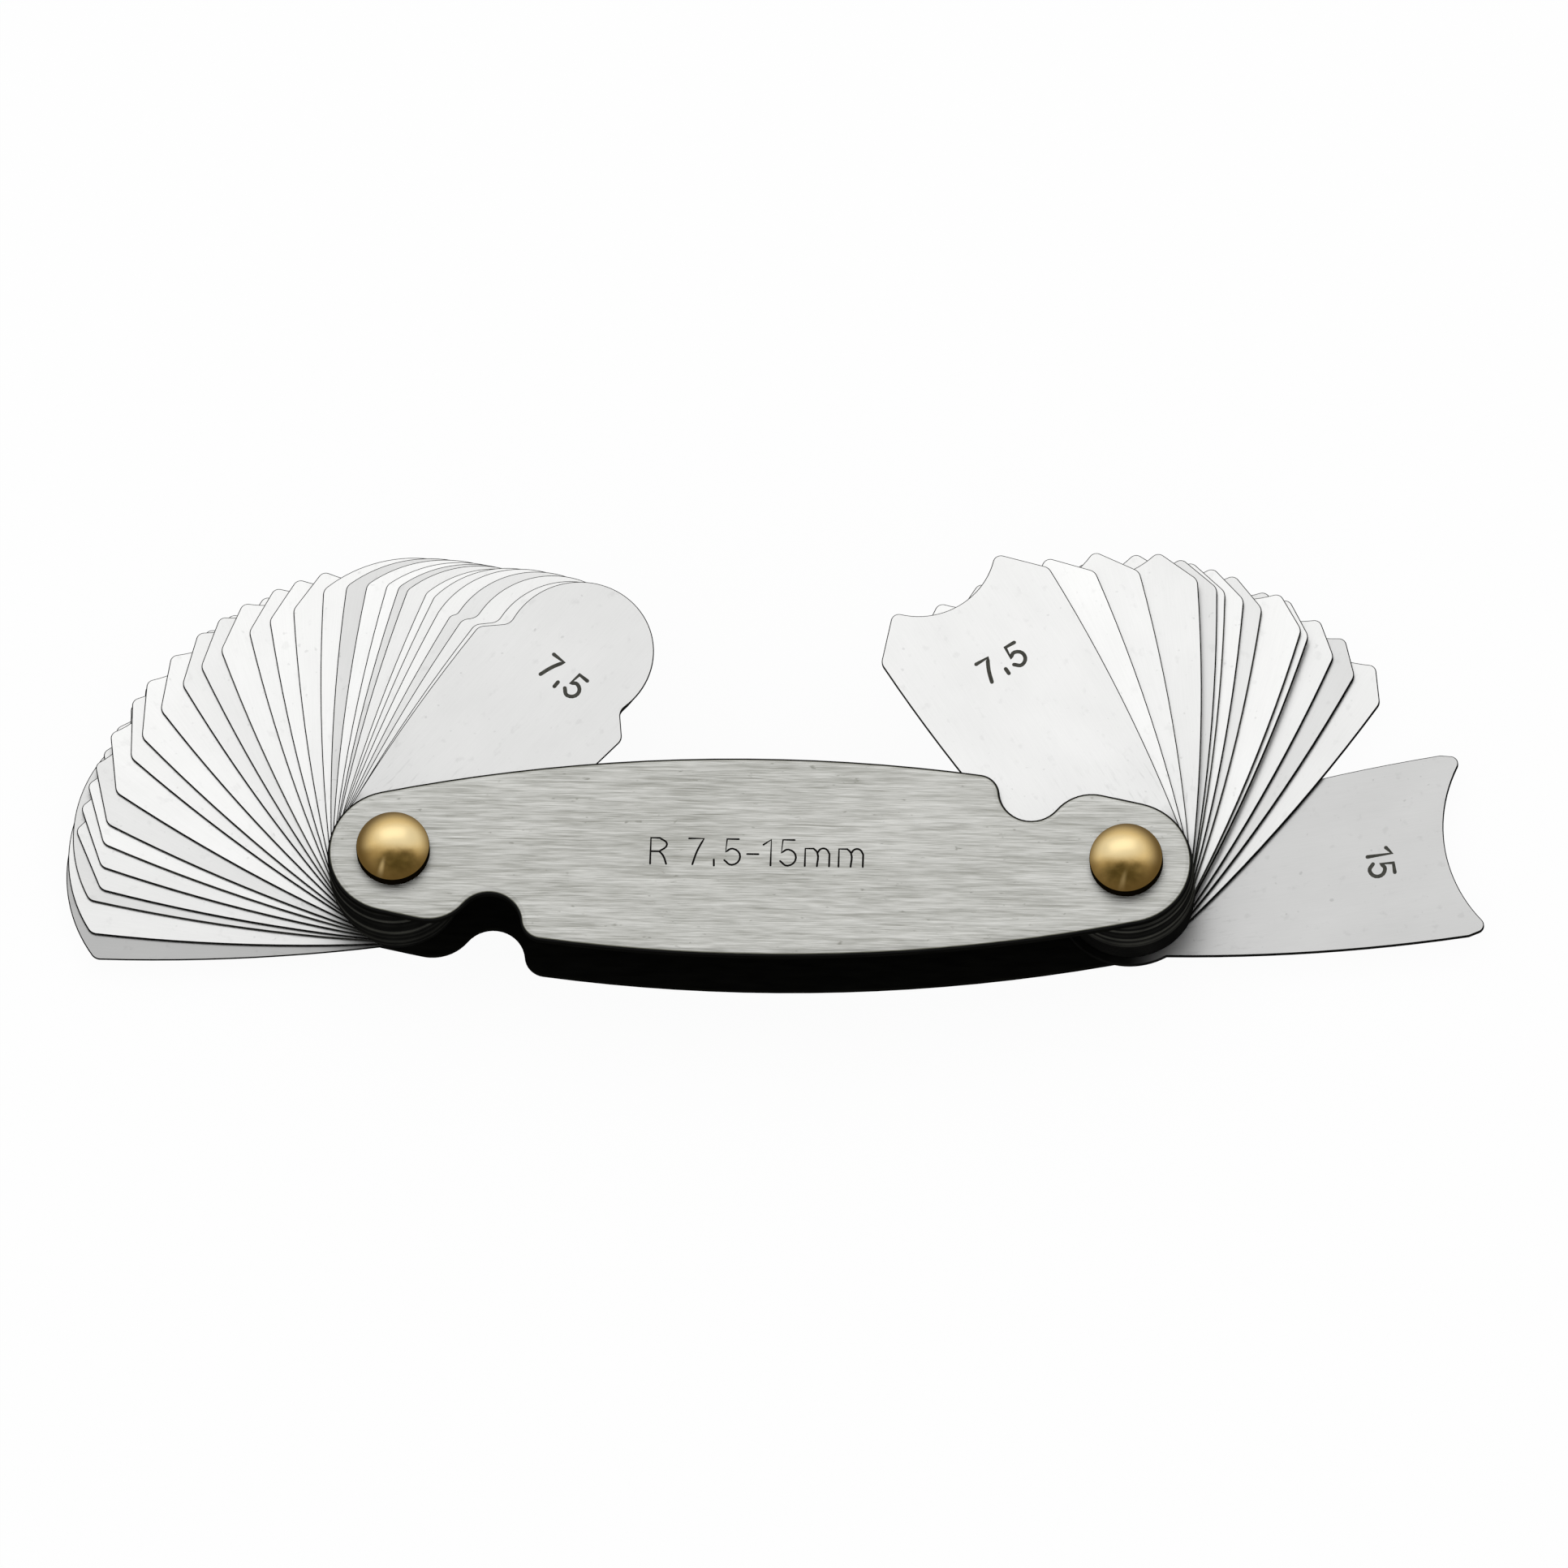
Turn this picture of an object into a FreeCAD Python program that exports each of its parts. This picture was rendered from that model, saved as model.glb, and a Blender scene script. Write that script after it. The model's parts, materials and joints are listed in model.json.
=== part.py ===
import FreeCAD, Part
import math
import os

from FreeCAD import Placement, Rotation, Vector

# Adjustable radius gauge, R 7.5 to 15 mm, lying on its back with the leaves fanned out.
# Units are millimetres. +X runs along the holder from the left rivet to the right one,
# +Y is the side on which the leaves stand open, and +Z points up, out of the front plate.
# The origin is the centre of the left rivet's flat rear crown, on the table.

# Holder: two equal steel plates, point-symmetric, with one thumb notch on each long side
PIVOT_SPAN = 73.0
HOLDER_HALF_WIDTH = 10.5
END_RADIUS = 6.5
PLATE_THICKNESS = 1.0
EDGE_BREAK = 0.25
NOTCH_FROM_CENTRE = 26.8
NOTCH_RADIUS = 3.2
NOTCH_DEPTH = 4.1
NOTCH_INNER_LIP = 2.2
NOTCH_OUTER_LIP = 4.5

# Rivets: brass, domed head at the front, shank through both plates, formed head at the rear
SHANK_RADIUS = 2.0
HEAD_RADIUS = 3.65
HEAD_SIDE = 1.3
HEAD_DOME = 1.3
TAIL_RADIUS = 3.3
TAIL_CROWN_RADIUS = 2.4
TAIL_HEIGHT = 0.9

# Leaf blank, the same for every leaf: a round heel about the pivot and two bowed sides that
# widen from a waist abreast of the pivot to the shoulders
WAIST_HALF_WIDTH = 6.45
HEEL_BULGE = 0.15
WIDE_HALF_WIDTH = 9.7
WIDE_FROM_PIVOT = 30.0
SIDE_BOW_RADIUS = 180.0
LEFT_LEAF_THICKNESS = 0.26
LEAF_GAP = 0.035
LEAF_PLAY = 0.05
SHOULDER_ROUND = 1.1

# Convex leaves: a dome at the tip, necked where it is narrower than the blank
CONVEX_REACH = 35.6
CONVEX_REACH_STEP = 0.78
CONVEX_REACH_DROP = 2.6
NECK_ANGLE = 106.0
NECK_ANGLE_FALL = 9.0
NECK_ROUND = 1.2
ROUND_SHARE = 0.45
SMOOTH_CORNER = math.radians(8)

# Concave leaves: sides chamfered from the shoulder to a horn at each end of the arc
HORN_ROUND = 0.8
LEFT_SHORTER_BY = 3.0
LEFT_CHAMFER_LENGTH = 4.7
LEFT_HORN = 4.3
LEFT_HORN_STEP = 0.35
RIGHT_SHORTER_BY = 1.8
RIGHT_CHAMFER_LENGTH = 3.9
RIGHT_HORN = 5.7
RIGHT_HORN_STEP = 0.2

# The two outer leaves of the right pack are cut longer than those between them, and the
# rearmost has a fuller heel, which shows past the holder's end
OUTER_HORN_REACH = 36.0
FRONT_OUTER_CHAMFER_LENGTH = 4.6
FRONT_OUTER_HORN = 5.9
REAR_OUTER_CHAMFER_LENGTH = 3.4
REAR_OUTER_HORN = 9.2
REAR_OUTER_HEEL_BULGE = 0.95

SMALLEST = 7.5
STEP = 0.5

# Rest angles of the leaves' centre lines from +X, in degrees, front leaf first
LEFT_REST = [51, 52.2, 55.5, 58.5, 61.5, 64, 66, 70, 72, 74.5, 78.5, 82.5, 87,
             93, 98, 102.5, 109, 114, 119, 125.5, 132, 136.5, 144, 150.5, 154.5, 159, 163.5,
             166, 172.5, 177.5]
RIGHT_REST = [122.8, 115.4, 107.5, 97, 101, 93.5, 92, 88.5, 85, 77, 75.5, 80, 70, 65, 58.3, 10.4]

# The left pack from front to rear: convex to 13.5, then concave from 14 down, then convex to 15
FRONT_CONVEX_COUNT = 13
CONCAVE_COUNT = 14


def left_leaves():
    """Profile and radius of each left leaf, front leaf first."""
    convex = [SMALLEST + STEP * i for i in range(len(LEFT_REST) - CONCAVE_COUNT)]
    concave = [SMALLEST + STEP * i for i in range(CONCAVE_COUNT)]
    front = [("convex", radius) for radius in convex[:FRONT_CONVEX_COUNT]]
    middle = [("concave", radius) for radius in reversed(concave)]
    rear = [("convex", radius) for radius in convex[FRONT_CONVEX_COUNT:]]
    return front + middle + rear


def right_leaves():
    """Profile and radius of each right leaf, front leaf first."""
    return [("concave", SMALLEST + STEP * i) for i in range(len(RIGHT_REST))]


LEFT = left_leaves()
RIGHT = right_leaves()

# Heights, from the rear crown on the table up to the front plate
POCKET = len(LEFT) * (LEFT_LEAF_THICKNESS + LEAF_GAP)
REAR_PLATE_Z = TAIL_HEIGHT
POCKET_Z = REAR_PLATE_Z + PLATE_THICKNESS
FRONT_PLATE_Z = POCKET_Z + POCKET
FRONT_FACE_Z = FRONT_PLATE_Z + PLATE_THICKNESS
RIGHT_LEAF_THICKNESS = POCKET / len(RIGHT) - LEAF_GAP

# Each long edge of the holder is one arc that meets both end rounds tangentially
HALF_SPAN = PIVOT_SPAN / 2
SIDE_ARC = ((HALF_SPAN ** 2 + HOLDER_HALF_WIDTH ** 2 - END_RADIUS ** 2)
            / (2 * (HOLDER_HALF_WIDTH - END_RADIUS)))

# Each side of a leaf is one arc: centre of the bow on the leaf's +Y side, pivot at the origin
CHORD_ANGLE = math.atan2(WIDE_HALF_WIDTH - WAIST_HALF_WIDTH, WIDE_FROM_PIVOT)
HALF_CHORD = math.hypot(WIDE_HALF_WIDTH - WAIST_HALF_WIDTH, WIDE_FROM_PIVOT) / 2
BOW_DEPTH = math.sqrt(SIDE_BOW_RADIUS ** 2 - HALF_CHORD ** 2)
BOW_X = WIDE_FROM_PIVOT / 2 + BOW_DEPTH * math.sin(CHORD_ANGLE)
BOW_Y = (WIDE_HALF_WIDTH + WAIST_HALF_WIDTH) / 2 - BOW_DEPTH * math.cos(CHORD_ANGLE)


def flat_solid(edges, thickness):
    """Extrudes one closed outline of edges upwards from z = 0."""
    wire = Part.Wire(Part.__sortEdges__(edges))
    return Part.Face(wire).extrude(Vector(0, 0, thickness))


def arc(start, middle, end):
    """A circular arc through three points in the plane."""
    points = [Vector(x, y, 0) for x, y in (start, middle, end)]
    return Part.Arc(*points).toShape()


def line(start, end):
    """A straight edge between two points in the plane."""
    return Part.makeLine(Vector(start[0], start[1], 0), Vector(end[0], end[1], 0))


def round_corners(solid, corners):
    """Rounds the upright edges that stand at the given (x, y, radius) corners."""
    for x, y, radius in corners:
        edges = [e for e in solid.Edges if stands_at(e, x, y)]
        solid = solid.makeFillet(radius, edges)
    return solid


def stands_at(edge, x, y):
    """True for an upright edge whose foot is at x, y."""
    a, b = edge.Vertexes[0].Point, edge.Vertexes[-1].Point
    upright = abs(a.z - b.z) > 1e-4 and math.hypot(a.x - b.x, a.y - b.y) < 1e-6
    return upright and math.hypot(a.x - x, a.y - y) < 1e-3


def side_edge_y(x):
    """Half-width of the holder at x, measured from the holder's centre."""
    return HOLDER_HALF_WIDTH - SIDE_ARC + math.sqrt(SIDE_ARC ** 2 - x ** 2)


def holder_plate(outer_face_up):
    """One holder plate centred on the holder, its outer face's rim broken all round."""
    lean = math.asin(HALF_SPAN / (SIDE_ARC - END_RADIUS))
    tx = HALF_SPAN + END_RADIUS * math.sin(lean)
    ty = END_RADIUS * math.cos(lean)
    edges = [arc((-tx, ty), (0, HOLDER_HALF_WIDTH), (tx, ty)),
             arc((tx, ty), (HALF_SPAN + END_RADIUS, 0), (tx, -ty)),
             arc((tx, -ty), (0, -HOLDER_HALF_WIDTH), (-tx, -ty)),
             arc((-tx, -ty), (-HALF_SPAN - END_RADIUS, 0), (-tx, ty))]
    plate = flat_solid(edges, PLATE_THICKNESS)
    centre_y = side_edge_y(NOTCH_FROM_CENTRE) - NOTCH_DEPTH + NOTCH_RADIUS
    for turn in (1, -1):
        place = Vector(turn * NOTCH_FROM_CENTRE, turn * centre_y, 0)
        plate = plate.cut(Part.makeCylinder(NOTCH_RADIUS, PLATE_THICKNESS, place))
    for turn in (1, -1):
        inner, outer = notch_corners(centre_y)
        plate = round_corners(plate, [(turn * inner[0], turn * inner[1], NOTCH_INNER_LIP),
                                      (turn * outer[0], turn * outer[1], NOTCH_OUTER_LIP)])
    for side in (-1, 1):
        hole = Part.makeCylinder(SHANK_RADIUS, PLATE_THICKNESS, Vector(side * HALF_SPAN, 0, 0))
        plate = plate.cut(hole)
    rim_z = PLATE_THICKNESS if outer_face_up else 0.0
    return plate.makeChamfer(EDGE_BREAK, [e for e in plate.Edges if on_rim(e, rim_z)])


def notch_corners(centre_y):
    """Where the notch circle crosses the holder's long edge: inner corner, outer corner."""
    corners = []
    for side in (-1, 1):
        x = NOTCH_FROM_CENTRE + side * NOTCH_RADIUS
        for _ in range(30):
            y = side_edge_y(x)
            x = NOTCH_FROM_CENTRE + side * math.sqrt(NOTCH_RADIUS ** 2 - (y - centre_y) ** 2)
        corners.append((x, side_edge_y(x)))
    return corners


def on_rim(edge, z):
    """True for an edge of the outer outline that lies at height z, not round a rivet hole."""
    box = edge.BoundBox
    level = abs(box.ZMin - z) < 1e-5 and abs(box.ZMax - z) < 1e-5
    middle = edge.valueAt((edge.FirstParameter + edge.LastParameter) / 2)
    from_hole = math.hypot(abs(middle.x) - HALF_SPAN, middle.y)
    return level and from_hole > SHANK_RADIUS * 1.2


def leaf_half_width(x):
    """Distance of the leaf's side from its centre line, x along the leaf from the pivot."""
    return BOW_Y + math.sqrt(SIDE_BOW_RADIUS ** 2 - (x - BOW_X) ** 2)


def meets_side(centre, radius):
    """Where a circle about a point of the centre line crosses the leaf's side, nearer the tip."""
    gap = math.hypot(BOW_X - centre, BOW_Y)
    along = (radius ** 2 - SIDE_BOW_RADIUS ** 2 + gap ** 2) / (2 * gap)
    across = math.sqrt(radius ** 2 - along ** 2)
    ux, uy = (BOW_X - centre) / gap, BOW_Y / gap
    return centre + along * ux - across * uy, along * uy + across * ux


def mitre_meets_side(x, y):
    """Where a line at 45 degrees, back and outwards from x, y, crosses the leaf's side."""
    p, q = x - BOW_X, y - BOW_Y
    run = (p - q + math.sqrt(2 * SIDE_BOW_RADIUS ** 2 - (p + q) ** 2)) / 2
    return x - run, y + run


def round_within(radius, run, turn):
    """The radius, or as much of it as an edge of length run has room for at a corner."""
    return min(radius, ROUND_SHARE * run / math.tan(turn / 2))


def leaf_solid(tip, shoulder, corners, thickness, bulge=HEEL_BULGE):
    """A leaf with its heel about the origin, the given tip edges and one shoulder point."""
    heel = WAIST_HALF_WIDTH + bulge
    hx, hy = meets_side(0, heel)
    sx, sy = shoulder
    mx = (hx + sx) / 2
    edges = [arc((hx, hy), (-heel, 0), (hx, -hy))] + tip
    for side in (1, -1):
        edges.append(arc((hx, side * hy), (mx, side * leaf_half_width(mx)), (sx, side * sy)))
    solid = flat_solid(edges, thickness)
    both_sides = [(x, side * y, r) for x, y, r in corners for side in (1, -1)]
    solid = round_corners(solid, both_sides)
    return solid.cut(Part.makeCylinder(SHANK_RADIUS + LEAF_PLAY, thickness))


def convex_leaf(radius, thickness):
    """Leaf with a convex dome of the given radius at its tip, necked if the blank is wider."""
    reach = CONVEX_REACH - min(CONVEX_REACH_STEP * (radius - SMALLEST), CONVEX_REACH_DROP)
    centre = reach - radius
    half_width_there = SIDE_BOW_RADIUS - math.hypot(BOW_X - centre, BOW_Y)
    if half_width_there < radius:
        sx, sy = meets_side(centre, radius)
        tip = [arc((sx, sy), (reach, 0), (sx, -sy))]
        turn = math.atan2(sx - centre, sy) - math.atan2(sx - BOW_X, sy - BOW_Y)
        corners = [(sx, sy, SHOULDER_ROUND)] if turn > SMOOTH_CORNER else []
        return leaf_solid(tip, (sx, sy), corners, thickness)
    neck = math.radians(NECK_ANGLE - NECK_ANGLE_FALL * (radius - SMALLEST))
    nx, ny = centre + radius * math.cos(neck), radius * math.sin(neck)
    sx, sy = mitre_meets_side(nx, ny)
    tip = [line((sx, sy), (nx, ny)), line((sx, -sy), (nx, -ny)),
           arc((nx, ny), (reach, 0), (nx, -ny))]
    run = math.hypot(nx - sx, ny - sy)
    shoulder_round = round_within(SHOULDER_ROUND, run, math.radians(45))
    neck_round = round_within(NECK_ROUND, run, neck - math.radians(45))
    corners = [(sx, sy, shoulder_round), (nx, ny, neck_round)]
    return leaf_solid(tip, (sx, sy), corners, thickness)


def concave_leaf(radius, reach, chamfer_length, horn, thickness, bulge=HEEL_BULGE):
    """Leaf with a concave arc of the given radius between two horns at its tip."""
    sx, sy = reach - chamfer_length, leaf_half_width(reach - chamfer_length)
    hx = math.sqrt(reach ** 2 - horn ** 2)
    deepest = hx + math.sqrt(radius ** 2 - horn ** 2) - radius
    tip = [line((sx, sy), (hx, horn)), line((sx, -sy), (hx, -horn)),
           arc((hx, horn), (deepest, 0), (hx, -horn))]
    corners = [(sx, sy, SHOULDER_ROUND), (hx, horn, HORN_ROUND)]
    return leaf_solid(tip, (sx, sy), corners, thickness, bulge)


def left_leaf(profile, radius):
    """A leaf of the left pack, lying along +X with its pivot at the origin."""
    if profile == "convex":
        return convex_leaf(radius, LEFT_LEAF_THICKNESS)
    reach = CONVEX_REACH - LEFT_SHORTER_BY
    horn = LEFT_HORN + LEFT_HORN_STEP * (radius - SMALLEST)
    return concave_leaf(radius, reach, LEFT_CHAMFER_LENGTH, horn, LEFT_LEAF_THICKNESS)


def right_leaf(profile, radius):
    """A leaf of the right pack, lying along +X with its pivot at the origin."""
    if radius == RIGHT[0][1]:
        return concave_leaf(radius, OUTER_HORN_REACH, FRONT_OUTER_CHAMFER_LENGTH,
                            FRONT_OUTER_HORN, RIGHT_LEAF_THICKNESS)
    if radius == RIGHT[-1][1]:
        return concave_leaf(radius, OUTER_HORN_REACH, REAR_OUTER_CHAMFER_LENGTH,
                            REAR_OUTER_HORN, RIGHT_LEAF_THICKNESS, REAR_OUTER_HEEL_BULGE)
    reach = OUTER_HORN_REACH - RIGHT_SHORTER_BY
    horn = RIGHT_HORN + RIGHT_HORN_STEP * (radius - SMALLEST)
    return concave_leaf(radius, reach, RIGHT_CHAMFER_LENGTH, horn, RIGHT_LEAF_THICKNESS)


def rivet():
    """A rivet with its rear crown on z = 0, as one turned solid."""
    dome_radius = (HEAD_RADIUS ** 2 + HEAD_DOME ** 2) / (2 * HEAD_DOME)
    dome_rim = FRONT_FACE_Z + HEAD_SIDE
    top = dome_rim + HEAD_DOME
    half = HEAD_RADIUS / 2
    dome_mid = top - dome_radius + math.sqrt(dome_radius ** 2 - half ** 2)
    points = [Vector(0, 0, 0), Vector(TAIL_CROWN_RADIUS, 0, 0), Vector(TAIL_RADIUS, 0, TAIL_HEIGHT),
              Vector(SHANK_RADIUS, 0, TAIL_HEIGHT), Vector(SHANK_RADIUS, 0, FRONT_FACE_Z),
              Vector(HEAD_RADIUS, 0, FRONT_FACE_Z), Vector(HEAD_RADIUS, 0, dome_rim)]
    edges = [Part.makeLine(a, b) for a, b in zip(points, points[1:])]
    dome = Part.Arc(Vector(HEAD_RADIUS, 0, dome_rim), Vector(half, 0, dome_mid), Vector(0, 0, top))
    edges += [dome.toShape(), Part.makeLine(Vector(0, 0, top), Vector(0, 0, 0))]
    face = Part.Face(Part.Wire(edges))
    return face.revolve(Vector(0, 0, 0), Vector(0, 0, 1), 360)


def save(name, shape, x=0.0, y=0.0, z=0.0, turn=0.0):
    """Turns a shape about its own Z axis, moves it into place and writes it out."""
    shape.Placement = Placement(Vector(x, y, z), Rotation(Vector(0, 0, 1), turn))
    shape.exportStep("parts/" + name + ".step")


def leaf_name(side, place, profile, radius):
    """Node name such as left_leaf_01_convex_7_5, counted from the front."""
    size = ("%g" % radius).replace(".", "_")
    return "%s_leaf_%02d_%s_%s" % (side, place, profile, size)


def save_pack(side, leaves, angles, make, thickness, pivot_x):
    """Writes every leaf of one pack at its own level and rest angle."""
    pitch = thickness + LEAF_GAP
    for i, ((profile, radius), angle) in enumerate(zip(leaves, angles)):
        z = FRONT_PLATE_Z - (i + 1) * pitch + LEAF_GAP / 2
        save(leaf_name(side, i + 1, profile, radius), make(profile, radius), pivot_x, 0, z, angle)


os.makedirs("parts", exist_ok=True)
save("front_plate", holder_plate(outer_face_up=True), HALF_SPAN, 0, FRONT_PLATE_Z)
save("rear_plate", holder_plate(outer_face_up=False), HALF_SPAN, 0, REAR_PLATE_Z)
save("left_rivet", rivet(), 0)
save("right_rivet", rivet(), PIVOT_SPAN)
save_pack("left", LEFT, LEFT_REST, left_leaf, LEFT_LEAF_THICKNESS, 0.0)
save_pack("right", RIGHT, RIGHT_REST, right_leaf, RIGHT_LEAF_THICKNESS, PIVOT_SPAN)
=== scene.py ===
"""An adjustable radius gauge, R 7.5 to 15 mm, lying fanned out on a pale studio floor."""

import json
import math
import random

import bmesh
import bpy
from mathutils import Matrix, Vector


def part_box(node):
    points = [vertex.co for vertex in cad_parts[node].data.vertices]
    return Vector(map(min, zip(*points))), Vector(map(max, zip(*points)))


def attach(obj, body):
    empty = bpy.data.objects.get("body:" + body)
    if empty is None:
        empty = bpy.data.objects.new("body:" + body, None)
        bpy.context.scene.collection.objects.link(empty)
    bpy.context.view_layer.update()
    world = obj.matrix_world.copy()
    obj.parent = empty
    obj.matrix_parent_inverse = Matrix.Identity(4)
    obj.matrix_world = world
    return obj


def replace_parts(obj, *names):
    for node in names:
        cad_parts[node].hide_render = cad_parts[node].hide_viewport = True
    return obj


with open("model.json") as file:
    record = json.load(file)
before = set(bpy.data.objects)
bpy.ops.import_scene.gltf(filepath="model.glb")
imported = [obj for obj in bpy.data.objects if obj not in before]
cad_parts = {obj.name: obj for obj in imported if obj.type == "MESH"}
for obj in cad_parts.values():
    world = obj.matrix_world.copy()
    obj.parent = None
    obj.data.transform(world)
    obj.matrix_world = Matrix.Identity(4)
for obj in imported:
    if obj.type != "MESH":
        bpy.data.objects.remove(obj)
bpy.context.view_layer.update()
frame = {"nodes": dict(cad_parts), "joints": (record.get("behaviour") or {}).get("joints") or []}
scene = bpy.context.scene
scene.view_settings.view_transform = "Standard"
MM = 0.001

# The camera stands high above the pocket's open lower side and looks down on the gauge. Its lens
# is so long that the picture shows no perspective, so it is a parallel view of a fixed width.
VIEW_TURN = math.radians(8.25)
VIEW_RISE = math.radians(68.9)
VIEW_ROLL = math.radians(6.8)
VIEW_WIDTH = 155.9 * MM
VIEW_RIGHT_OF_CENTRE = 2.4 * MM
VIEW_ABOVE_CENTRE = 7.2 * MM
VIEW_DISTANCE = 0.6

front_low, front_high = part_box("front_plate")
holder_centre = Vector(((front_low.x + front_high.x) / 2, (front_low.y + front_high.y) / 2,
                        front_high.z))
turned = (Matrix.Rotation(VIEW_TURN, 4, "Z") @ Matrix.Rotation(math.pi / 2 - VIEW_RISE, 4, "X")
          @ Matrix.Rotation(-VIEW_ROLL, 4, "Z"))
stand = holder_centre + turned.to_3x3() @ Vector((VIEW_RIGHT_OF_CENTRE, VIEW_ABOVE_CENTRE,
                                                  VIEW_DISTANCE))
camera = bpy.data.objects.new("photographers_camera", bpy.data.cameras.new("long_lens"))
camera.data.type = "ORTHO"
camera.data.ortho_scale = VIEW_WIDTH
camera.data.clip_start = 0.01
camera.matrix_world = Matrix.Translation(stand) @ turned
scene.collection.objects.link(camera)
scene.camera = camera


# The studio floor is a wide sheet of white paper. It shows plain white to the camera and in the
# metal's reflections, and keeps a trace of the gauge's own shadow.
FLOOR_SIZE = 3.0
PLAIN_WHITE_SHARE = 0.94


class Signal:
    """One output of a shader's nodes, which is added, multiplied and so on like a number."""

    def __init__(self, shader, socket):
        self.shader = shader
        self.socket = socket

    def __add__(self, other):
        return self.shader.maths("ADD", self, other)

    def __sub__(self, other):
        return self.shader.maths("SUBTRACT", self, other)

    def __rsub__(self, other):
        return self.shader.maths("SUBTRACT", other, self)

    def __mul__(self, other):
        return self.shader.maths("MULTIPLY", self, other)

    __radd__ = __add__
    __rmul__ = __mul__


class Shader:
    """The nodes of one finish, or of the world, as they are put together."""

    def __init__(self, owner):
        owner.use_nodes = True
        self.nodes = owner.node_tree.nodes
        self.links = owner.node_tree.links
        self.nodes.clear()

    def node(self, kind, settings, sockets, output=0):
        """Adds a node, sets it up, then gives its sockets their values or links."""
        added = self.nodes.new("ShaderNode" + kind)
        for name, value in settings.items():
            setattr(added, name, value)
        for name, value in sockets.items():
            if isinstance(value, Signal):
                self.links.new(value.socket, added.inputs[name])
            else:
                added.inputs[name].default_value = value
        return Signal(self, added.outputs[output]) if added.outputs else None

    def maths(self, operation, first, second):
        return self.node("Math", {"operation": operation}, {0: first, 1: second})

    def step(self, value, low, high):
        """0 at low and 1 at high, with a smooth change between; low may be the higher one."""
        return self.node("MapRange", {"interpolation_type": "SMOOTHSTEP"},
                         {"Value": value, "From Min": low, "From Max": high})

    def blend(self, share, first, second):
        """The first colour at share 0 and the second at share 1."""
        return self.node("Mix", {"data_type": "RGBA"}, {0: share, 6: first, 7: second}, 2)

    def noise(self, place, stretch, detail=2.0):
        """Soft noise from 0 to 1; stretch is how many of its lumps one unit holds each way."""
        grid = self.node("Mapping", {}, {"Vector": place, "Scale": stretch})
        return self.node("TexNoise", {}, {"Vector": grid, "Scale": 1.0, "Detail": detail})

    def backdrop_ray(self):
        """1 for the rays that see the backdrop as plain white: camera, glossy and transmission."""
        rays = [self.node("LightPath", {}, {}, output)
                for output in ("Is Camera Ray", "Is Glossy Ray", "Is Transmission Ray")]
        return self.maths("MAXIMUM", self.maths("MAXIMUM", rays[0], rays[1]), rays[2])


def grey(value, warmth=0.0):
    """A neutral colour; warmth takes that share of its blue away."""
    return (value, value, value * (1 - warmth), 1.0)


white_paper = bpy.data.materials.new("white_paper")
paper = Shader(white_paper)
lit_paper = paper.node("BsdfDiffuse", {}, {"Color": grey(0.9)})
plain_white = paper.node("Emission", {}, {"Color": grey(1.0), "Strength": 1.0})
paper.node("OutputMaterial", {}, {"Surface": paper.node(
    "MixShader", {}, {0: paper.backdrop_ray() * PLAIN_WHITE_SHARE, 1: lit_paper, 2: plain_white})})

floor_shape = bmesh.new()
bmesh.ops.create_grid(floor_shape, x_segments=1, y_segments=1, size=FLOOR_SIZE / 2)
floor = bpy.data.objects.new("paper_floor", bpy.data.meshes.new("paper_floor"))
floor_shape.to_mesh(floor.data)
floor_shape.free()
floor.data.materials.append(white_paper)
scene.collection.objects.link(floor)


# The light is a white room, with one broad soft window high behind the gauge. It draws the
# bright spot on the rivets' domes, over a highlight painted into their brass.
ROOM_LEVEL = 0.9
WINDOW_DIRECTION = Vector((-0.10, 0.65, 0.76)).normalized()
WINDOW_DISTANCE = 0.6
WINDOW_WIDTH = 0.5
WINDOW_HEIGHT = 0.26
WINDOW_POWER = 0.3

room = bpy.data.worlds.new("white_room")
scene.world = room
air = Shader(room)
seen_white = air.backdrop_ray()
air.node("OutputWorld", {}, {"Surface": air.node(
    "Background", {}, {"Color": grey(1.0), "Strength": seen_white + (1 - seen_white) * ROOM_LEVEL})})

window = bpy.data.lights.new("high_window", "AREA")
window.shape = "RECTANGLE"
window.size = WINDOW_WIDTH
window.size_y = WINDOW_HEIGHT
window.energy = WINDOW_POWER
lamp = bpy.data.objects.new("high_window", window)
lamp.matrix_world = (Matrix.Translation(holder_centre + WINDOW_DIRECTION * WINDOW_DISTANCE)
                     @ WINDOW_DIRECTION.to_track_quat("Z", "Y").to_matrix().to_4x4())
scene.collection.objects.link(lamp)


# The holder is two equal steel plates, sheared to outline and brushed along their length on the
# outer faces. Brushing has eased the faces towards their rims, which are broken and turn nearly
# black away from the brushed face. The plates' inner faces and edges are painted near black as shade.
EDGE_BREAK = 0.25 * MM
EASED_WIDTH = 0.35 * MM
EASED_DROP = 0.07 * MM
HOLDER_MIDDLE = (front_high.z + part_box("rear_plate")[0].z) / 2
HOLDER_HALF_HEIGHT = front_high.z - HOLDER_MIDDLE
DOUBLES = 0.002 * MM
FLAT = math.radians(0.5)
SHARP = math.radians(30)
UPRIGHT = 0.2  # these three are how much of a face's normal points up
LEVEL = 0.95
FULLY_LEVEL = 0.999


def bare_shell(node):
    """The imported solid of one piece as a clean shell: doubles merged, flat faces whole."""
    shell = bmesh.new()
    shell.from_mesh(frame["nodes"][node].data)
    bmesh.ops.remove_doubles(shell, verts=shell.verts, dist=DOUBLES)
    bmesh.ops.dissolve_limit(shell, angle_limit=FLAT, verts=shell.verts, edges=shell.edges)
    shell.normal_update()
    return shell


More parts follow.
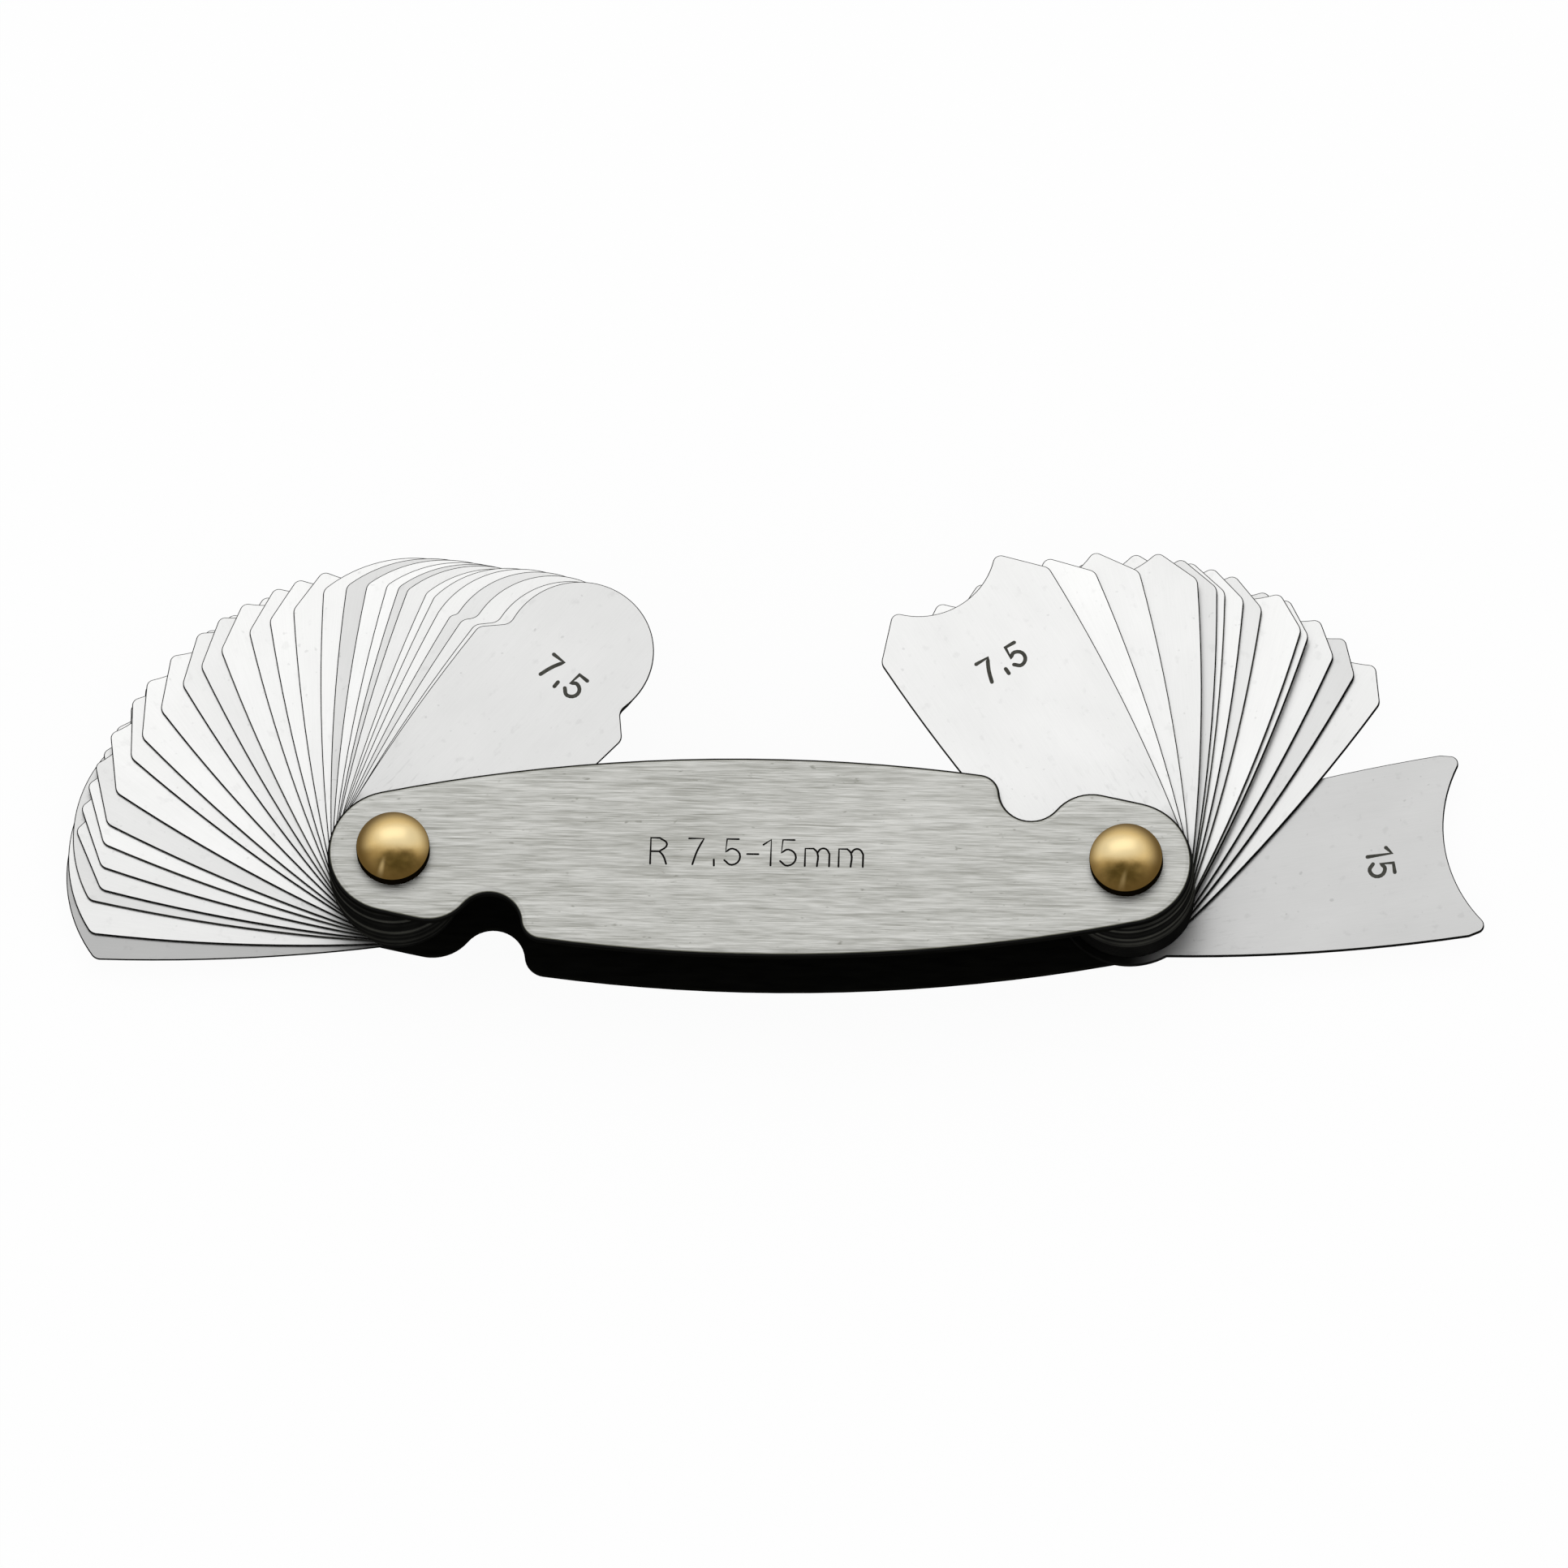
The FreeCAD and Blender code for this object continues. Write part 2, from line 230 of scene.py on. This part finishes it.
def add_piece(name, shell, finishes):
    """Makes an object of the shell, with these finishes in its slots and its own normals."""
    piece = bpy.data.objects.new(name, bpy.data.meshes.new(name))
    shell.to_mesh(piece.data)
    shell.free()
    if piece.data.has_custom_normals:
        piece.data.attributes.remove(piece.data.attributes["custom_normal"])
    for finish in finishes:
        piece.data.materials.append(finish)
    scene.collection.objects.link(piece)
    return piece


def shade_smooth(piece, flat_from=LEVEL):
    """Shades round stretches smooth; edges stay crisp, and so do faces as level as flat_from."""
    piece.data.set_sharp_from_angle(angle=SHARP)
    smooth = [abs(face.normal.z) <= flat_from for face in piece.data.polygons]
    piece.data.polygons.foreach_set("use_smooth", smooth)


def close_finish(shader, base, metallic, roughness, bump=None, depth=0.0, shine=0.5):
    """Ends a finish; its base, its roughness and its bump may vary over the surface."""
    sockets = {"Base Color": base, "Metallic": metallic, "Roughness": roughness,
               "Specular IOR Level": shine}
    if bump:
        sockets["Normal"] = shader.node("Bump", {}, {"Height": bump, "Distance": depth})
    shader.node("OutputMaterial", {}, {"Surface": shader.node("BsdfPrincipled", {}, sockets)})


def brushed_steel():
    """Steel brushed along X: soft short streaks of many lengths, light and dark."""
    material = bpy.data.materials.new("brushed_steel")
    shader = Shader(material)
    place = shader.node("TexCoord", {}, {}, "Object")
    broad = shader.noise(place, (110, 1100, 400), 2.0)
    streaks = shader.noise(place, (170, 3400, 900), 3.0)
    fine = shader.noise(place, (420, 9500, 2000), 3.0)
    cloud = shader.noise(place, (45, 90, 60), 2.0)
    specks = shader.step(shader.noise(place, (900, 2200, 900), 2.0), 0.68, 0.80)
    scratches = shader.step(shader.noise(place, (130, 5200, 900), 1.0), 0.66, 0.76)
    brush = (broad - 0.5) * 0.35 + (streaks - 0.5) * 0.7 + (fine - 0.5) * 1.0
    level = brush * 0.9 + (cloud - 0.5) * 0.2 + 0.50 - specks * 0.35 - scratches * 0.30
    base = shader.blend(shader.step(level, 0.05, 0.95), grey(0.26, 0.10), grey(0.62, 0.04))
    close_finish(shader, base, 1.0, shader.step(level, 0.0, 1.0) * 0.12 + 0.34, brush, 0.02 * MM)
    return material


def broken_rim():
    """The broken rim: bare in nicks next to the brushed face, and soon as dark as the edge."""
    material = bpy.data.materials.new("broken_rim")
    shader = Shader(material)
    place = shader.node("TexCoord", {}, {}, "Object")
    nicks = shader.noise(place, (900, 900, 900), 3.0)
    height = shader.node("SeparateXYZ", {}, {"Vector": place}, "Z")
    from_middle = shader.maths("ABSOLUTE", height - HOLDER_MIDDLE, 0.0)
    depth = (HOLDER_HALF_HEIGHT - from_middle) * (1 / EDGE_BREAK)
    bare = shader.blend(nicks, grey(0.08, 0.25), grey(0.30, 0.2))
    dark = shader.step(depth + (nicks - 0.5) * 0.25, 0.32, 0.60)
    close_finish(shader, shader.blend(dark, bare, grey(0.008)), 0.0, 0.5, shine=0.0)
    return material


def dark_steel(name, low, high, grain):
    """Steel painted dark with streaks, used for blacked grooves and for painted shade."""
    material = bpy.data.materials.new(name)
    shader = Shader(material)
    place = shader.node("TexCoord", {}, {}, "Object")
    close_finish(shader, shader.blend(shader.noise(place, grain, 3.0), grey(low, 0.1),
                                      grey(high, 0.15)), 0.0, 0.5, shine=0.0)
    return material


steel = brushed_steel()
rim = broken_rim()
# painted shade: the plates' sides and inner faces are painted near black as the shade and dark
# reflection in the pocket between the plates
black_shade = dark_steel("painted_shade_steel", 0.0008, 0.006, (300, 1500, 1500))
plate_blacking = dark_steel("plate_blacking", 0.003, 0.012, (2500, 2500, 2500))


def dressed_plate(node, outward):
    """One plate with its outer face brushed and eased, its rim dark, and the rest painted near black
    as shade.
    """
    shell = bare_shell(node)
    outer = [face for face in shell.faces if face.normal.z * outward > LEVEL]
    eased = bmesh.ops.inset_region(shell, faces=outer, thickness=EASED_WIDTH,
                                   use_even_offset=True)["faces"]
    inside = {vert for face in outer for vert in face.verts}
    for vert in {vert for face in eased for vert in face.verts} - inside:
        vert.co.z -= EASED_DROP * outward
    shell.normal_update()
    for face in shell.faces:
        facing = face.normal.z * outward
        # faces that are neither the outer face nor its rim take the painted shade
        face.material_index = 0 if facing > LEVEL else 1 if facing > UPRIGHT else 2
    return add_piece(node + "_brushed", shell, [steel, rim, black_shade, plate_blacking])


front_plate = dressed_plate("front_plate", 1)
rear_plate = dressed_plate("rear_plate", -1)


# The marks are single-line lettering, cut with a round-nosed graver and blacked: the size range
# on the front plate, and on each leaf its own radius. A letter here is one unit high.
LETTER_GAP = 0.34
PLATE_LETTER_HEIGHT = 2.75 * MM
PLATE_STROKE = 0.20 * MM
PLATE_TEXT_START = Vector((25.6, -0.95)) * MM
GROOVE_DEPTH = 0.05 * MM
GRAVER_ROUNDS = 1
BEND_STEPS = 4
END_SEGMENTS = 8
END_RINGS = 4
ROUND = "AUTO"
LETTERS = {
    # width, then strokes as (closed, points); a point is a corner unless it says ROUND
    " ": (0.10, []),
    "R": (0.60, [(False, [(0, 0), (0, 1), (0.32, 1), (0.59, 0.76, ROUND), (0.32, 0.48),
                          (0, 0.48)]),
                 (False, [(0.32, 0.48), (0.46, 0.32, ROUND), (0.58, 0)])]),
    "m": (0.88, [(False, [(0, 0), (0, 0.68), (0.30, 0.68), (0.44, 0.52, ROUND), (0.44, 0)]),
                 (False, [(0.44, 0.52), (0.58, 0.68, ROUND), (0.76, 0.66, ROUND),
                          (0.88, 0.48), (0.88, 0)])]),
    "-": (0.16, [(False, [(-0.08, 0.43), (0.33, 0.43)])]),
    ",": (0.08, [(False, [(0.04, 0.20), (0.05, -0.04)])]),
    "0": (0.56, [(True, [(0.28, 1, ROUND), (0.56, 0.66, ROUND), (0.56, 0.34, ROUND),
                         (0.28, 0, ROUND), (0, 0.34, ROUND), (0, 0.66, ROUND)])]),
    "1": (0.28, [(False, [(0, 0.80), (0.28, 1), (0.28, 0)])]),
    "2": (0.56, [(False, [(0, 0.76), (0.28, 1, ROUND), (0.55, 0.74, ROUND),
                          (0.40, 0.42, ROUND), (0, 0), (0.57, 0)])]),
    "3": (0.56, [(False, [(0.02, 0.86), (0.27, 1, ROUND), (0.53, 0.77, ROUND), (0.22, 0.55)]),
                 (False, [(0.22, 0.55), (0.56, 0.28, ROUND), (0.27, 0, ROUND), (0, 0.14)])]),
    "4": (0.60, [(False, [(0.40, 1), (0, 0.28), (0.60, 0.28)]),
                 (False, [(0.44, 0.55), (0.44, 0)])]),
    "5": (0.56, [(False, [(0.50, 1), (0.08, 1), (0.04, 0.50), (0.29, 0.63, ROUND),
                          (0.57, 0.32, ROUND), (0.28, 0, ROUND), (0, 0.18)])]),
    "7": (0.54, [(False, [(0, 1), (0.54, 1), (0.30, 0.50, ROUND), (0.15, 0)])]),
    "8": (0.56, [(True, [(0.28, 1, ROUND), (0.51, 0.78, ROUND), (0.28, 0.55, ROUND),
                         (0.05, 0.78, ROUND)]),
                 (True, [(0.28, 0.55, ROUND), (0.56, 0.28, ROUND), (0.28, 0, ROUND),
                         (0, 0.28, ROUND)])]),
    "9": (0.56, [(True, [(0.27, 1, ROUND), (0.54, 0.70, ROUND), (0.27, 0.42, ROUND),
                         (0, 0.70, ROUND)]),
                 (False, [(0.54, 0.70), (0.48, 0.30, ROUND), (0.16, 0)])]),
}


def text_width(text):
    """Length of a line of text in letter heights."""
    return sum(LETTERS[letter][0] + LETTER_GAP for letter in text) - LETTER_GAP


def graver_path(text, stroke):
    """The groove that a round graver cuts for this text, as a solid about the surface z = 0."""
    lines = bpy.data.curves.new("graver", "CURVE")
    lines.dimensions = "3D"
    lines.bevel_depth = stroke / 2
    lines.bevel_resolution = GRAVER_ROUNDS
    lines.resolution_u = BEND_STEPS
    lines.use_fill_caps = True
    ends = []
    start = 0.0
    for letter in text:
        width, strokes = LETTERS[letter]
        for closed, points in strokes:
            line = lines.splines.new("BEZIER")
            line.bezier_points.add(len(points) - 1)
            line.use_cyclic_u = closed
            for knot, (x, y, *bend) in zip(line.bezier_points, points):
                knot.co = (start + x, y, 0)
                knot.handle_left_type = knot.handle_right_type = bend[0] if bend else "VECTOR"
            if not closed:
                ends += [(start + points[i][0], points[i][1]) for i in (0, -1)]
        start += width + LETTER_GAP
    curve = bpy.data.objects.new("graver", lines)
    scene.collection.objects.link(curve)
    shown = curve.evaluated_get(bpy.context.evaluated_depsgraph_get())
    groove = bmesh.new()
    groove.from_mesh(bpy.data.meshes.new_from_object(shown))
    bpy.data.objects.remove(curve)
    for x, y in ends:
        bmesh.ops.create_uvsphere(groove, u_segments=END_SEGMENTS, v_segments=END_RINGS,
                                  radius=stroke / 2, matrix=Matrix.Translation((x, y, 0)))
    return groove


def engrave(piece, text, stroke, height, place):
    """Cuts the text into the piece, and gives the grooves the last of the piece's finishes.

    place carries the text's left foot onto the surface.
    """
    groove = graver_path(text, stroke / height)
    flatten = Matrix.Diagonal((height, height, 2 * GROOVE_DEPTH * height / stroke, 1))
    groove.transform(place @ flatten)
    for face in groove.faces:
        face.material_index = len(piece.data.materials) - 1
    cutter = add_piece("graver", groove, [])
    cut = piece.modifiers.new("engraving", "BOOLEAN")
    cut.solver = "EXACT"
    cut.use_self = True
    cut.object = cutter
    shown = piece.evaluated_get(bpy.context.evaluated_depsgraph_get())
    piece.data = bpy.data.meshes.new_from_object(shown)
    piece.modifiers.clear()
    bpy.data.objects.remove(cutter)


engrave(front_plate, "R 7,5-15mm", PLATE_STROKE, PLATE_LETTER_HEIGHT,
        Matrix.Translation((*PLATE_TEXT_START, front_high.z)))
for plate, node in ((front_plate, "front_plate"), (rear_plate, "rear_plate")):
    shade_smooth(plate, flat_from=FULLY_LEVEL)
    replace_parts(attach(plate, "holder"), node)


# The leaves are thin spring-steel blades, blanked and ground to a pale satin. Their ground edges
# are painted near black as the shade between the stacked leaves, and their round heels, which lie
# under the plates, are painted dark as grease and as the shade under the plates.
BURR = 0.10 * MM
BORE_REACH = 3.0 * MM
LEAF_LETTER_HEIGHT = 2.45 * MM
LEAF_STROKE = 0.40 * MM
MARK_ALONG = 25.1 * MM
MARK_ACROSS = -0.55 * MM
LEFT_TONES = (0.67, 0.78, 0.43)
RIGHT_TONES = (0.77, 0.80, 0.57)
TONE_SPREAD = 0.05
DULLER_BY = 0.09
DULLER_SHARE = 0.16
PALER_EDGE_RARITY = 5


def satin_leaf():
    """Ground satin steel, read along and across the leaf, in millimetres, from its pivot."""
    material = bpy.data.materials.new("satin_leaf")
    shader = Shader(material)
    place = shader.node("UVMap", {"uv_map": "leaf"}, {})
    tone = shader.node("Attribute", {"attribute_name": "tone"}, {}, "Fac")
    own = shader.node("CombineXYZ", {}, {"Z": tone * 400})
    place = shader.node("VectorMath", {"operation": "ADD"}, {0: place, 1: own})
    along = shader.node("SeparateXYZ", {}, {"Vector": place}, "X")
    grain = shader.noise(place, (0.3, 7, 1), 2.0)
    smudge = shader.noise(place, (0.10, 0.14, 1), 4.0)
    stains = shader.step(shader.noise(place, (0.7, 0.9, 1), 4.0), 0.60, 0.72)
    specks = shader.step(shader.noise(place, (1.5, 1.5, 1), 1.0), 0.72, 0.80)
    scuffs = shader.step(shader.noise(place, (0.5, 2.5, 1), 2.0), 0.55, 0.8)
    # darker towards the plate: painted shade from the plate, with scuffs of wear
    near_heel = shader.step(along, 15.0, 5.0)
    level = (tone * (0.98 + (grain - 0.5) * 0.07 + (smudge - 0.5) * 0.12)
             - near_heel * (0.03 + scuffs * 0.12) - specks * 0.10 - stains * 0.045)
    colour = shader.node("CombineColor", {}, {"Red": level, "Green": level, "Blue": level * 0.99})
    # the heel under the plates: grease and painted shade, near black with streaks
    heel = shader.step(along, 4.0, -1.5)
    streak = shader.noise(place, (0.8, 0.8, 1), 3.0)
    grease_and_shade = shader.blend(streak, grey(0.004), grey(0.05, 0.1))
    close_finish(shader, shader.blend(heel, colour, grease_and_shade), 1.0, 0.34 + (smudge - 0.5) * 0.12)
    return material


def painted_edge_shade():
    """A leaf's edge and burr, painted near black as the shade between the stacked leaves, and a
    little paler on a few.
    """
    material = bpy.data.materials.new("painted_edge_shade")
    shader = Shader(material)
    place = shader.node("TexCoord", {}, {}, "Object")
    paler_edge = shader.node("Attribute", {"attribute_name": "paler_edge"}, {}, "Fac")
    # painted shade: the edges and burrs are near black, as the shade between the stacked leaves
    edge_mottle = shader.noise(place, (500, 500, 500), 3.0)
    deep_edge_shade = shader.blend(edge_mottle, grey(0.002), grey(0.008, 0.1))
    pale_edge_shade = shader.blend(edge_mottle, grey(0.015, 0.1), grey(0.07, 0.15))
    close_finish(shader, shader.blend(paler_edge, deep_edge_shade, pale_edge_shade), 0.0, 0.5, shine=0.0)
    return material


satin = satin_leaf()
leaf_rim_shade = painted_edge_shade()
leaf_blacking = dark_steel("leaf_blacking", 0.02, 0.11, (2500, 2500, 2500))


def note_on_points(piece, name, value):
    """Gives every point of the piece this value under this name."""
    notes = piece.data.attributes.new(name, "FLOAT", "POINT")
    notes.data.foreach_set("value", [value] * len(piece.data.vertices))


def ground_shell(node, pivot):
    """One leaf with the edges of its outline ground off; its bore's edges stay as they are."""
    shell = bare_shell(node)
    rims = []
    for edge in shell.edges:
        level = [abs(face.normal.z) > LEVEL for face in edge.link_faces]
        middle = (edge.verts[0].co + edge.verts[1].co) / 2 - pivot
        if sum(level) == 1 and middle.xy.length > BORE_REACH:
            rims.append(edge)
    bmesh.ops.bevel(shell, geom=rims, offset=BURR, offset_type="OFFSET", segments=1, profile=0.5,
                    affect="EDGES", clamp_overlap=True, material=-1)
    shell.normal_update()
    for face in shell.faces:
        # the ground-off burr faces take the painted edge shade too
        face.material_index = 0 if abs(face.normal.z) > LEVEL else 1
    return shell


def note_places(leaf, lie):
    """Gives the leaf's corners their own places along and across it, in millimetres."""
    back = lie.inverted()
    places = leaf.data.uv_layers.new(name="leaf")
    for loop in leaf.data.loops:
        own = back @ leaf.data.vertices[loop.vertex_index].co
        places.data[loop.index].uv = (own.x / MM, own.y / MM)


def dressed_leaf(node, tone, paler_edge):
    """One leaf with its edges ground, its own radius engraved and its own tone.

    Its name ends in its radius, such as 7_5. One limit of its hinge lays it along X, pointing to
    the right, and so tells the angle at which it rests.
    """
    hinge = next(j for j in frame["joints"] if j["child"] == node)
    low, high = hinge["range_deg"]
    angle = math.radians(-low if hinge["axis"][2] > 0 else high)
    pivot = Vector(hinge["pos_m"])
    leaf = add_piece(node + "_ground", ground_shell(node, pivot), [satin, leaf_rim_shade, leaf_blacking])
    size = node.split("_", 4)[4].replace("_", ",")
    lie = Matrix.Translation((pivot.x, pivot.y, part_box(node)[1].z)) @ Matrix.Rotation(angle, 4, "Z")
    foot = Vector((MARK_ALONG - LEAF_LETTER_HEIGHT / 2,
                   MARK_ACROSS + text_width(size) * LEAF_LETTER_HEIGHT / 2, 0))
    engrave(leaf, size, LEAF_STROKE, LEAF_LETTER_HEIGHT,
            lie @ Matrix.Translation(foot) @ Matrix.Rotation(-math.pi / 2, 4, "Z"))
    note_places(leaf, lie)
    note_on_points(leaf, "tone", tone)
    note_on_points(leaf, "paler_edge", paler_edge)
    shade_smooth(leaf)
    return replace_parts(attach(leaf, node), node)


dice = random.Random(7)
for side, (first, middle, last) in (("left", LEFT_TONES), ("right", RIGHT_TONES)):
    pack = sorted(node for node in frame["nodes"] if node.startswith(side + "_leaf"))
    for i, node in enumerate(pack):
        tone = middle + dice.uniform(-TONE_SPREAD, TONE_SPREAD)
        if dice.random() < DULLER_SHARE:
            tone -= DULLER_BY
        if i == 0:
            tone = first
        if i == len(pack) - 1:
            tone = last
        dressed_leaf(node, tone, dice.random() ** PALER_EDGE_RARITY)


# The rivets are turned from brass: a low domed head at the front, a shank through both plates
# and a flat crown formed at the rear. The domes are satin, with a painted highlight above their
# middle, painted shade and painted dark reflection towards their lower side and rim, and one small
# painted highlight streak in that dark.
HEAD_SIDE = 1.3 * MM
HEAD_EDGE = 0.12 * MM
EDGE_ROUND_SHARE = 0.3
SHANK_RADIUS = 2.0 * MM
CROWN_RADIUS = 2.4 * MM
CROWN_FOOT_SHARE = 0.904
DOME_STEPS = 14
TURNED_STEPS = 96


def satin_brass(name, centre, bright_right, patch_right, streak_right, streak_strength):
    """Brass dome with painted light: a painted highlight above its middle, painted shade below it, a
    mottled patch of painted dark reflection low down, a painted highlight streak through that patch,
    and painted dark reflection towards its rim.

    The places on the dome are in millimetres from its axis; the streak's strength says how bright the
    streak is.
    """
    material = bpy.data.materials.new(name)
    shader = Shader(material)
    place = shader.node("TexCoord", {}, {}, "Object")
    local = shader.node("VectorMath", {"operation": "SUBTRACT"}, {0: place, 1: centre})
    mottle = shader.noise(local, (700, 900, 700), 4.0)
    fine = shader.noise(local, (4000, 4000, 4000), 2.0)
    off_x = shader.node("SeparateXYZ", {}, {"Vector": local}, "X") * (1 / MM)
    off_y = shader.node("SeparateXYZ", {}, {"Vector": local}, "Y") * (1 / MM)

    def ellipse(right, up, half_width, half_height):
        """0 at this place on the dome, and 1 on an ellipse of these half sizes round it."""
        x = (off_x - right) * (1 / half_width)
        y = (off_y - up) * (1 / half_height)
        return x * x + y * y

    plain = shader.blend(fine, (0.65, 0.465, 0.195, 1), (0.71, 0.51, 0.22, 1))
    # painted highlight: the brass is lighter in an ellipse above the dome's middle, where the window
    # is reflected
    painted_highlight = shader.step(ellipse(bright_right, 0.7, 2.7, 1.5), 1.4, 0.0)
    clean = shader.blend(painted_highlight, plain, (0.72, 0.58, 0.32, 1))
    # painted shade: the dome is darker below its middle, where it reflects the darker room
    lower_shade = shader.step(off_y + (mottle - 0.5) * 0.6, 0.0, -1.3)
    with_lower_shade = shader.blend(lower_shade * 0.85, clean, (0.27, 0.165, 0.045, 1))
    # painted reflection: a mottled dark patch low on the dome, where it reflects the dark part of the
    # room
    out = ellipse(patch_right, -2.3, 2.4, 1.5) + (mottle - 0.5) * 1.2
    patch = shader.step(out, 1.7, 0.0)
    dark_reflection_colour = shader.blend(mottle, (0.030, 0.018, 0.003, 1), (0.14, 0.088, 0.022, 1))
    with_dark_reflection = shader.blend(patch, with_lower_shade, dark_reflection_colour)
    # painted highlight: a thin bright streak through the dark patch, as the reflection of a lamp in
    # front
    up_streak = off_y + 2.6
    aside = shader.maths("ABSOLUTE", off_x - streak_right - up_streak * 0.25, 0.0)
    streak = shader.step(aside + up_streak * 0.1, 0.42, 0.0) * shader.step(off_y, -1.3, -2.9)
    with_painted_streak = shader.blend(streak * streak_strength, with_dark_reflection, (0.70, 0.52, 0.24, 1))
    # painted reflection: the dome darkens towards its edge, where it reflects the plate and the
    # darker room
    from_bright = shader.maths("SQRT", ellipse(bright_right * 0.5, 0.0, 1.0, 1.0), 0.0)
    rim = shader.step(from_bright, 2.1, 3.75)
    close_finish(shader, shader.blend(rim * 0.95, with_painted_streak, (0.10, 0.058, 0.015, 1)), 1.0,
                 0.30 + (mottle - 0.5) * 0.06)
    return material


def shaded_brass():
    """The brass of the head's upright side and of the shank, painted nearly black as shade and dark
    reflection.
    """
    material = bpy.data.materials.new("shaded_brass")
    shader = Shader(material)
    place = shader.node("TexCoord", {}, {}, "Object")
    turning = shader.noise(place, (300, 300, 6000), 2.0)
    close_finish(shader, shader.blend(turning, (0.001, 0.0007, 0.0003, 1), (0.006, 0.004, 0.0015, 1)),
                 0.0, 0.5, shine=0.0)
    return material


side_brass = shaded_brass()


def turned_rivet(node, bright_right, patch_right, streak_right, streak_strength):
    """One rivet, turned from its profile about its own axis; the rest places the painted light on its
    dome.
    """
    low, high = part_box(node)
    centre = (low + high) / 2
    head = (high.x - low.x) / 2
    seat = front_high.z
    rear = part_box("rear_plate")[0].z
    rim_z = seat + HEAD_SIDE
    rise = high.z - rim_z
    dome = (head ** 2 + rise ** 2) / (2 * rise)
    opening = math.asin(head / dome)
    profile = [(dome * math.sin(opening * i / DOME_STEPS),
                high.z - dome * (1 - math.cos(opening * i / DOME_STEPS)))
               for i in range(DOME_STEPS)]
    edge_round = HEAD_EDGE * EDGE_ROUND_SHARE
    profile += [(head - edge_round, rim_z + edge_round), (head, rim_z - HEAD_EDGE),
                (head, seat), (SHANK_RADIUS, seat), (SHANK_RADIUS, rear),
                (head * CROWN_FOOT_SHARE, rear), (CROWN_RADIUS, low.z), (0, low.z)]
    shell = bmesh.new()
    points = [shell.verts.new((centre.x + r, centre.y, z)) for r, z in profile]
    lines = [shell.edges.new(pair) for pair in zip(points, points[1:])]
    bmesh.ops.spin(shell, geom=points + lines, cent=(centre.x, centre.y, 0), axis=(0, 0, 1),
                   angle=2 * math.pi, steps=TURNED_STEPS, use_merge=True)
    bmesh.ops.remove_doubles(shell, verts=shell.verts, dist=DOUBLES)
    bmesh.ops.recalc_face_normals(shell, faces=shell.faces)
    for face in shell.faces:
        middle = face.calc_center_median()
        face.material_index = 0 if middle.z > rim_z or middle.z < rear else 1
    dome_brass = satin_brass(node + "_brass", centre, bright_right, patch_right, streak_right,
                             streak_strength)
    rivet = add_piece(node + "_turned", shell, [dome_brass, side_brass])
    shade_smooth(rivet, flat_from=1.0)
    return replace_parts(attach(rivet, "holder"), node)


turned_rivet("left_rivet", bright_right=0.6, patch_right=0.8, streak_right=-1.05, streak_strength=0.9)
turned_rivet("right_rivet", bright_right=-0.6, patch_right=0.0, streak_right=-0.15, streak_strength=0.3)
